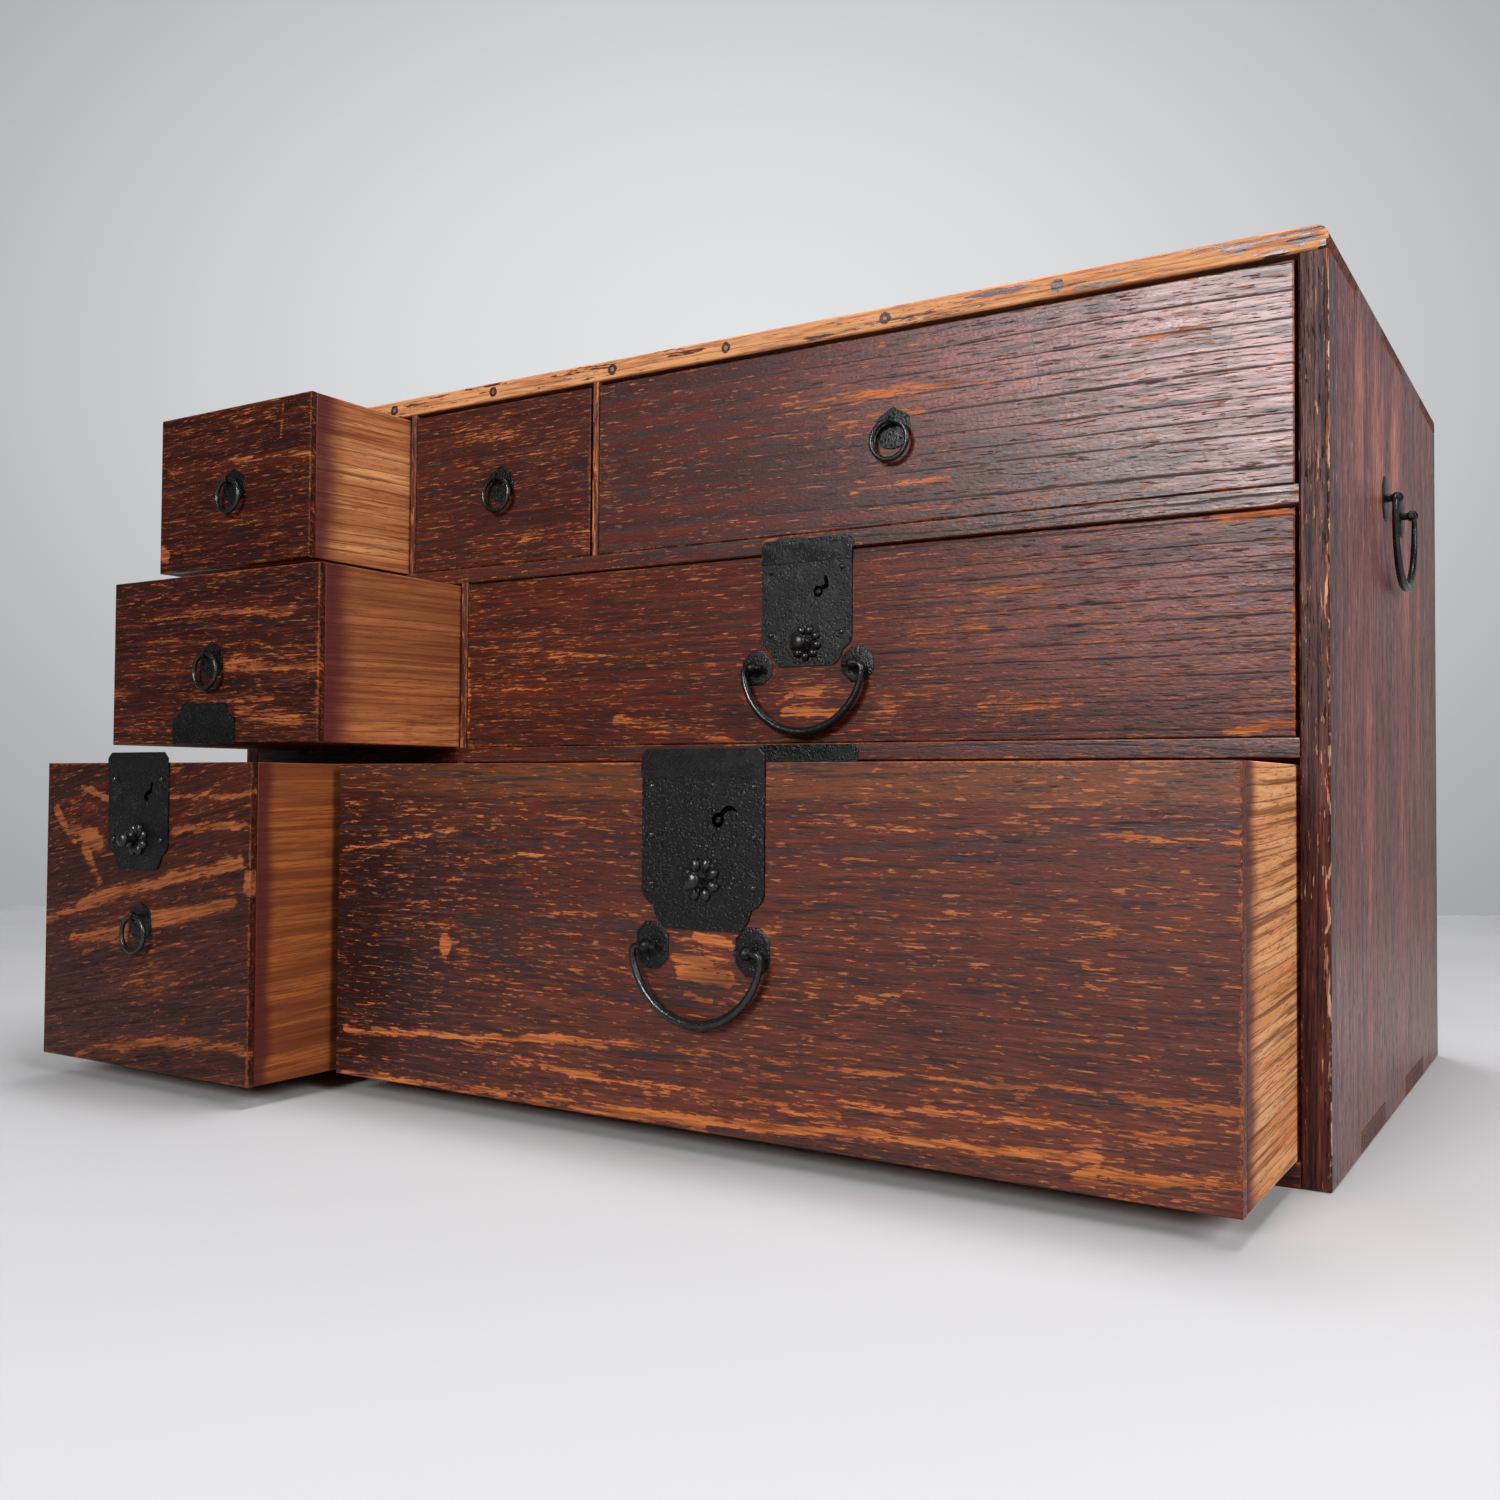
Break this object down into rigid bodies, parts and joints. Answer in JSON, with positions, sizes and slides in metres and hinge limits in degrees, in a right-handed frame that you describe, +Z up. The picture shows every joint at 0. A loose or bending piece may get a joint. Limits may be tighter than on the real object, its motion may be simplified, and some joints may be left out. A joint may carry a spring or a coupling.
{
  "type": "clothing chest",
  "caption": "Low wooden clothing chest of drawers with iron ring pulls, bail handles, push-button locks and carrying handles.",
  "frame": {"origin": "centre of the case's footprint on the floor", "axes": "+X to the right seen from the front, +Y from the front to the back, +Z up; the front looks towards -Y"},
  "size_m": [0.8658, 0.647, 0.5],
  "materials": {
    "lacquered_wood": "worn dark red-brown lacquer on softwood, grain raised, orange wood showing through",
    "bare_wood": "bare planed wood, warm tan",
    "peg_wood": "dark end grain of small pegs",
    "black_iron": "blackened forged iron, satin, finely pitted"
  },
  "bodies": {
    "case": {"upper_rail_and_shelf": "lacquered_wood", "lower_rail_and_shelf": "lacquered_wood", "rail_strike_plates": "black_iron", "top_row_dividers": "lacquered_wood", "middle_divider": "lacquered_wood", "bottom_divider": "lacquered_wood", "carrying_handle_mounts": "black_iron", "case_pegs": "peg_wood", "top_board": "lacquered_wood", "bottom_board": "lacquered_wood", "left_side_panel": "lacquered_wood", "right_side_panel": "lacquered_wood", "back_boards": "bare_wood"},
    "top_left_drawer": {"top_left_pull_mount": "black_iron", "top_left_drawer_front": "lacquered_wood", "top_left_drawer_walls": "bare_wood", "top_left_drawer_bottom": "bare_wood"},
    "top_left_ring_body": {"top_left_ring": "black_iron"},
    "top_middle_drawer": {"top_middle_pull_mount": "black_iron", "top_middle_drawer_front": "lacquered_wood", "top_middle_drawer_walls": "bare_wood", "top_middle_drawer_bottom": "bare_wood"},
    "top_middle_ring_body": {"top_middle_ring": "black_iron"},
    "top_wide_drawer": {"top_wide_pull_mount": "black_iron", "top_wide_drawer_front": "lacquered_wood", "top_wide_drawer_walls": "bare_wood", "top_wide_drawer_bottom": "bare_wood"},
    "top_wide_ring_body": {"top_wide_ring": "black_iron"},
    "middle_left_drawer": {"middle_left_pull_mount": "black_iron", "middle_left_strike_plate": "black_iron", "middle_left_drawer_front": "lacquered_wood", "middle_left_drawer_walls": "bare_wood", "middle_left_drawer_bottom": "bare_wood"},
    "middle_left_ring_body": {"middle_left_ring": "black_iron"},
    "bottom_left_drawer": {"bottom_left_pull_mount": "black_iron", "bottom_left_lock_plate": "black_iron", "bottom_left_drawer_front": "lacquered_wood", "bottom_left_drawer_walls": "bare_wood", "bottom_left_drawer_bottom": "bare_wood"},
    "bottom_left_ring_body": {"bottom_left_ring": "black_iron"},
    "middle_wide_drawer": {"middle_wide_lock_plate": "black_iron", "middle_wide_bail_mounts": "black_iron", "middle_wide_drawer_front": "lacquered_wood", "middle_wide_drawer_walls": "bare_wood", "middle_wide_drawer_bottom": "bare_wood"},
    "middle_wide_lock_knob_body": {"middle_wide_lock_knob": "black_iron"},
    "middle_wide_lock_bolt_body": {"middle_wide_lock_bolt": "black_iron"},
    "bottom_wide_drawer": {"bottom_wide_lock_plate": "black_iron", "bottom_wide_bail_mounts": "black_iron", "bottom_wide_drawer_front": "lacquered_wood", "bottom_wide_drawer_walls": "bare_wood", "bottom_wide_drawer_bottom": "bare_wood"},
    "bottom_wide_lock_knob_body": {"bottom_wide_lock_knob": "black_iron"},
    "bottom_wide_lock_bolt_body": {"bottom_wide_lock_bolt": "black_iron"},
    "bottom_left_lock_knob_body": {"bottom_left_lock_knob": "black_iron"},
    "bottom_left_lock_bolt_body": {"bottom_left_lock_bolt": "black_iron"},
    "middle_wide_bail_body": {"middle_wide_bail": "black_iron"},
    "bottom_wide_bail_body": {"bottom_wide_bail": "black_iron"},
    "left_carrying_handle_body": {"left_carrying_handle": "black_iron"},
    "right_carrying_handle_body": {"right_carrying_handle": "black_iron"}
  },
  "joints": [
    {"name": "top_left_slide", "type": "slide", "parent": "case", "child": "top_left_drawer", "axis": [0, -1, 0], "range_m": [-0.095, 0.265]},
    {"name": "top_middle_slide", "type": "slide", "parent": "case", "child": "top_middle_drawer", "axis": [0, -1, 0], "range_m": [0, 0.36]},
    {"name": "top_wide_slide", "type": "slide", "parent": "case", "child": "top_wide_drawer", "axis": [0, -1, 0], "range_m": [0, 0.36]},
    {"name": "middle_left_slide", "type": "slide", "parent": "case", "child": "middle_left_drawer", "axis": [0, -1, 0], "range_m": [-0.132, 0.228]},
    {"name": "middle_wide_slide", "type": "slide", "parent": "case", "child": "middle_wide_drawer", "axis": [0, -1, 0], "range_m": [0, 0.36]},
    {"name": "bottom_left_slide", "type": "slide", "parent": "case", "child": "bottom_left_drawer", "axis": [0, -1, 0], "range_m": [-0.1818, 0.1782]},
    {"name": "bottom_wide_slide", "type": "slide", "parent": "case", "child": "bottom_wide_drawer", "axis": [0, -1, 0], "range_m": [-0.1175, 0.2425]},
    {"name": "top_left_ring_swing", "type": "hinge", "parent": "top_left_drawer", "child": "top_left_ring_body", "pos_m": [-0.32015, -0.326, 0.42799], "axis": [-1, 0, 0], "range_deg": [-8, 150]},
    {"name": "top_middle_ring_swing", "type": "hinge", "parent": "top_middle_drawer", "child": "top_middle_ring_body", "pos_m": [-0.14465, -0.231, 0.42799], "axis": [-1, 0, 0], "range_deg": [-8, 150]},
    {"name": "top_wide_ring_swing", "type": "hinge", "parent": "top_wide_drawer", "child": "top_wide_ring_body", "pos_m": [0.17225, -0.231, 0.42799], "axis": [-1, 0, 0], "range_deg": [-8, 150]},
    {"name": "middle_left_ring_swing", "type": "hinge", "parent": "middle_left_drawer", "child": "middle_left_ring_body", "pos_m": [-0.29315, -0.363, 0.29525], "axis": [-1, 0, 0], "range_deg": [-8, 150]},
    {"name": "bottom_left_ring_swing", "type": "hinge", "parent": "bottom_left_drawer", "child": "bottom_left_ring_body", "pos_m": [-0.29725, -0.4128, 0.1157], "axis": [-1, 0, 0], "range_deg": [-8, 150]},
    {"name": "middle_wide_bail_swing", "type": "hinge", "parent": "middle_wide_drawer", "child": "middle_wide_bail_body", "pos_m": [0.11235, -0.2322, 0.281], "axis": [-1, 0, 0], "range_deg": [-4, 110]},
    {"name": "bottom_wide_bail_swing", "type": "hinge", "parent": "bottom_wide_drawer", "child": "bottom_wide_bail_body", "pos_m": [0.11345, -0.3497, 0.1149], "axis": [-1, 0, 0], "range_deg": [-4, 110]},
    {"name": "left_carrying_handle_swing", "type": "hinge", "parent": "case", "child": "left_carrying_handle_body", "pos_m": [-0.4292, 0, 0.389], "axis": [0, 1, 0], "range_deg": [-4, 110]},
    {"name": "right_carrying_handle_swing", "type": "hinge", "parent": "case", "child": "right_carrying_handle_body", "pos_m": [0.4292, 0, 0.389], "axis": [0, -1, 0], "range_deg": [-4, 110]},
    {"name": "middle_wide_knob_press", "type": "slide", "parent": "middle_wide_drawer", "child": "middle_wide_lock_knob_body", "axis": [0, 1, 0], "range_m": [0, 0.00504]},
    {"name": "middle_wide_bolt_rise", "type": "slide", "parent": "middle_wide_drawer", "child": "middle_wide_lock_bolt_body", "axis": [0, 0, 1], "range_m": [0, 0.00831]},
    {"name": "bottom_wide_knob_press", "type": "slide", "parent": "bottom_wide_drawer", "child": "bottom_wide_lock_knob_body", "axis": [0, 1, 0], "range_m": [0, 0.00504]},
    {"name": "bottom_wide_bolt_rise", "type": "slide", "parent": "bottom_wide_drawer", "child": "bottom_wide_lock_bolt_body", "axis": [0, 0, 1], "range_m": [0, 0.01011]},
    {"name": "bottom_left_knob_press", "type": "slide", "parent": "bottom_left_drawer", "child": "bottom_left_lock_knob_body", "axis": [0, 1, 0], "range_m": [0, 0.00648]},
    {"name": "bottom_left_bolt_rise", "type": "slide", "parent": "bottom_left_drawer", "child": "bottom_left_lock_bolt_body", "axis": [0, 0, 1], "range_m": [0, 0.01991]}
  ],
  "couplings": [
    {"joint": "middle_wide_bolt_rise", "follows": "middle_wide_knob_press", "ratio": 1.6468},
    {"joint": "bottom_wide_bolt_rise", "follows": "bottom_wide_knob_press", "ratio": 2.004},
    {"joint": "bottom_left_bolt_rise", "follows": "bottom_left_knob_press", "ratio": 3.071}
  ]
}
